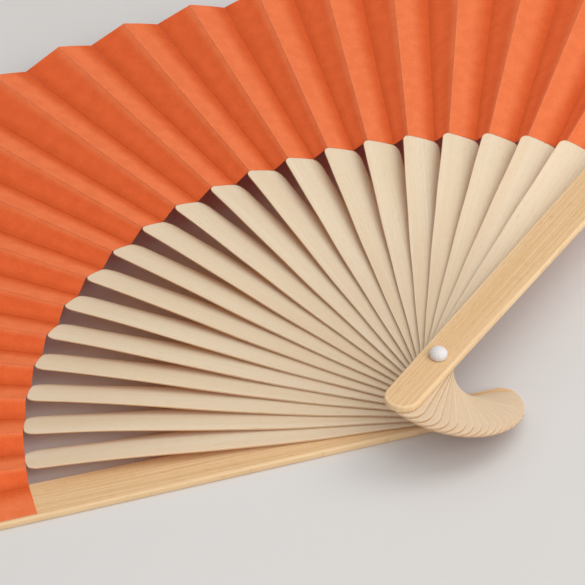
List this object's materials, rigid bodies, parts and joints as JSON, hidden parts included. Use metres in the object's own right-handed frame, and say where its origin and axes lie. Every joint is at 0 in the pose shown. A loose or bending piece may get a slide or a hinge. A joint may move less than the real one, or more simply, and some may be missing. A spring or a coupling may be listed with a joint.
{
  "type": "folding paper hand fan",
  "caption": "Folding hand fan with slim twisted bamboo ribs and a pleated orange paper leaf between two bamboo guards, all turning on one rivet.",
  "frame": {"origin": "on the rivet's axis, at the middle of the flat back cap, level with the underside of the back guard", "axes": "+Z along the rivet from the back guard to the front guard, +Y along the middle of the open fan, +X towards the front guard's side"},
  "size_m": [0.3918, 0.23, 0.0247],
  "materials": {
    "guard_bamboo": "satin",
    "rib_bamboo": "satin",
    "leaf_paper": "matte",
    "rivet_plastic": "gloss"
  },
  "bodies": {
    "back_guard": {"back_guard": "guard_bamboo", "leaf_strip": "leaf_paper", "rivet_pin": "rivet_plastic", "rivet_back_cap": "rivet_plastic"},
    "rib_01": {"rib_01": "rib_bamboo", "leaf_pleat_01": "leaf_paper"},
    "rib_02": {"rib_02": "rib_bamboo", "leaf_pleat_02": "leaf_paper"},
    "rib_03": {"rib_03": "rib_bamboo", "leaf_pleat_03": "leaf_paper"},
    "rib_04": {"rib_04": "rib_bamboo", "leaf_pleat_04": "leaf_paper"},
    "rib_05": {"rib_05": "rib_bamboo", "leaf_pleat_05": "leaf_paper"},
    "rib_06": {"rib_06": "rib_bamboo", "leaf_pleat_06": "leaf_paper"},
    "rib_07": {"rib_07": "rib_bamboo", "leaf_pleat_07": "leaf_paper"},
    "rib_08": {"rib_08": "rib_bamboo", "leaf_pleat_08": "leaf_paper"},
    "rib_09": {"rib_09": "rib_bamboo", "leaf_pleat_09": "leaf_paper"},
    "rib_10": {"rib_10": "rib_bamboo", "leaf_pleat_10": "leaf_paper"},
    "rib_11": {"rib_11": "rib_bamboo", "leaf_pleat_11": "leaf_paper"},
    "rib_12": {"rib_12": "rib_bamboo", "leaf_pleat_12": "leaf_paper"},
    "rib_13": {"rib_13": "rib_bamboo", "leaf_pleat_13": "leaf_paper"},
    "rib_14": {"rib_14": "rib_bamboo", "leaf_pleat_14": "leaf_paper"},
    "rib_15": {"rib_15": "rib_bamboo", "leaf_pleat_15": "leaf_paper"},
    "rib_16": {"rib_16": "rib_bamboo", "leaf_pleat_16": "leaf_paper"},
    "rib_17": {"rib_17": "rib_bamboo", "leaf_pleat_17": "leaf_paper"},
    "rib_18": {"rib_18": "rib_bamboo", "leaf_pleat_18": "leaf_paper"},
    "rib_19": {"rib_19": "rib_bamboo", "leaf_pleat_19": "leaf_paper"},
    "rib_20": {"rib_20": "rib_bamboo", "leaf_pleat_20": "leaf_paper"},
    "front_guard": {"front_guard": "guard_bamboo", "leaf_pleat_21": "leaf_paper"}
  },
  "joints": [
    {"name": "front_guard_hinge", "type": "hinge", "parent": "back_guard", "child": "front_guard", "pos_m": [0, 0, 0], "axis": [0, 0, 1], "range_deg": [0, 139], "deforming": ["leaf_pleat_21"]},
    {"name": "rib_01_hinge", "type": "hinge", "parent": "back_guard", "child": "rib_01", "pos_m": [0, 0, 0], "axis": [0, 0, 1], "range_deg": [0, 7.2], "deforming": ["leaf_pleat_01"]},
    {"name": "rib_02_hinge", "type": "hinge", "parent": "back_guard", "child": "rib_02", "pos_m": [0, 0, 0], "axis": [0, 0, 1], "range_deg": [0, 14.1], "deforming": ["leaf_pleat_02"]},
    {"name": "rib_03_hinge", "type": "hinge", "parent": "back_guard", "child": "rib_03", "pos_m": [0, 0, 0], "axis": [0, 0, 1], "range_deg": [0, 20.7], "deforming": ["leaf_pleat_03"]},
    {"name": "rib_04_hinge", "type": "hinge", "parent": "back_guard", "child": "rib_04", "pos_m": [0, 0, 0], "axis": [0, 0, 1], "range_deg": [0, 27.3], "deforming": ["leaf_pleat_04"]},
    {"name": "rib_05_hinge", "type": "hinge", "parent": "back_guard", "child": "rib_05", "pos_m": [0, 0, 0], "axis": [0, 0, 1], "range_deg": [0, 33.8], "deforming": ["leaf_pleat_05"]},
    {"name": "rib_06_hinge", "type": "hinge", "parent": "back_guard", "child": "rib_06", "pos_m": [0, 0, 0], "axis": [0, 0, 1], "range_deg": [0, 40.4], "deforming": ["leaf_pleat_06"]},
    {"name": "rib_07_hinge", "type": "hinge", "parent": "back_guard", "child": "rib_07", "pos_m": [0, 0, 0], "axis": [0, 0, 1], "range_deg": [0, 47.2], "deforming": ["leaf_pleat_07"]},
    {"name": "rib_08_hinge", "type": "hinge", "parent": "back_guard", "child": "rib_08", "pos_m": [0, 0, 0], "axis": [0, 0, 1], "range_deg": [0, 54], "deforming": ["leaf_pleat_08"]},
    {"name": "rib_09_hinge", "type": "hinge", "parent": "back_guard", "child": "rib_09", "pos_m": [0, 0, 0], "axis": [0, 0, 1], "range_deg": [0, 60.7], "deforming": ["leaf_pleat_09"]},
    {"name": "rib_10_hinge", "type": "hinge", "parent": "back_guard", "child": "rib_10", "pos_m": [0, 0, 0], "axis": [0, 0, 1], "range_deg": [0, 67.6], "deforming": ["leaf_pleat_10"]},
    {"name": "rib_11_hinge", "type": "hinge", "parent": "back_guard", "child": "rib_11", "pos_m": [0, 0, 0], "axis": [0, 0, 1], "range_deg": [0, 74.4], "deforming": ["leaf_pleat_11"]},
    {"name": "rib_12_hinge", "type": "hinge", "parent": "back_guard", "child": "rib_12", "pos_m": [0, 0, 0], "axis": [0, 0, 1], "range_deg": [0, 81.1], "deforming": ["leaf_pleat_12"]},
    {"name": "rib_13_hinge", "type": "hinge", "parent": "back_guard", "child": "rib_13", "pos_m": [0, 0, 0], "axis": [0, 0, 1], "range_deg": [0, 87.7], "deforming": ["leaf_pleat_13"]},
    {"name": "rib_14_hinge", "type": "hinge", "parent": "back_guard", "child": "rib_14", "pos_m": [0, 0, 0], "axis": [0, 0, 1], "range_deg": [0, 94.1], "deforming": ["leaf_pleat_14"]},
    {"name": "rib_15_hinge", "type": "hinge", "parent": "back_guard", "child": "rib_15", "pos_m": [0, 0, 0], "axis": [0, 0, 1], "range_deg": [0, 100.5], "deforming": ["leaf_pleat_15"]},
    {"name": "rib_16_hinge", "type": "hinge", "parent": "back_guard", "child": "rib_16", "pos_m": [0, 0, 0], "axis": [0, 0, 1], "range_deg": [0, 106.9], "deforming": ["leaf_pleat_16"]},
    {"name": "rib_17_hinge", "type": "hinge", "parent": "back_guard", "child": "rib_17", "pos_m": [0, 0, 0], "axis": [0, 0, 1], "range_deg": [0, 113.2], "deforming": ["leaf_pleat_17"]},
    {"name": "rib_18_hinge", "type": "hinge", "parent": "back_guard", "child": "rib_18", "pos_m": [0, 0, 0], "axis": [0, 0, 1], "range_deg": [0, 119.4], "deforming": ["leaf_pleat_18"]},
    {"name": "rib_19_hinge", "type": "hinge", "parent": "back_guard", "child": "rib_19", "pos_m": [0, 0, 0], "axis": [0, 0, 1], "range_deg": [0, 125.6], "deforming": ["leaf_pleat_19"]},
    {"name": "rib_20_hinge", "type": "hinge", "parent": "back_guard", "child": "rib_20", "pos_m": [0, 0, 0], "axis": [0, 0, 1], "range_deg": [0, 131.8], "deforming": ["leaf_pleat_20"]}
  ],
  "couplings": [
    {"joint": "rib_01_hinge", "follows": "front_guard_hinge", "ratio": 0.0509},
    {"joint": "rib_02_hinge", "follows": "front_guard_hinge", "ratio": 0.1002},
    {"joint": "rib_03_hinge", "follows": "front_guard_hinge", "ratio": 0.1481},
    {"joint": "rib_04_hinge", "follows": "front_guard_hinge", "ratio": 0.195},
    {"joint": "rib_05_hinge", "follows": "front_guard_hinge", "ratio": 0.2421},
    {"joint": "rib_06_hinge", "follows": "front_guard_hinge", "ratio": 0.2899},
    {"joint": "rib_07_hinge", "follows": "front_guard_hinge", "ratio": 0.3383},
    {"joint": "rib_08_hinge", "follows": "front_guard_hinge", "ratio": 0.3871},
    {"joint": "rib_09_hinge", "follows": "front_guard_hinge", "ratio": 0.4359},
    {"joint": "rib_10_hinge", "follows": "front_guard_hinge", "ratio": 0.4851},
    {"joint": "rib_11_hinge", "follows": "front_guard_hinge", "ratio": 0.5343},
    {"joint": "rib_12_hinge", "follows": "front_guard_hinge", "ratio": 0.5824},
    {"joint": "rib_13_hinge", "follows": "front_guard_hinge", "ratio": 0.6295},
    {"joint": "rib_14_hinge", "follows": "front_guard_hinge", "ratio": 0.6761},
    {"joint": "rib_15_hinge", "follows": "front_guard_hinge", "ratio": 0.722},
    {"joint": "rib_16_hinge", "follows": "front_guard_hinge", "ratio": 0.7677},
    {"joint": "rib_17_hinge", "follows": "front_guard_hinge", "ratio": 0.8133},
    {"joint": "rib_18_hinge", "follows": "front_guard_hinge", "ratio": 0.858},
    {"joint": "rib_19_hinge", "follows": "front_guard_hinge", "ratio": 0.9024},
    {"joint": "rib_20_hinge", "follows": "front_guard_hinge", "ratio": 0.9468}
  ]
}
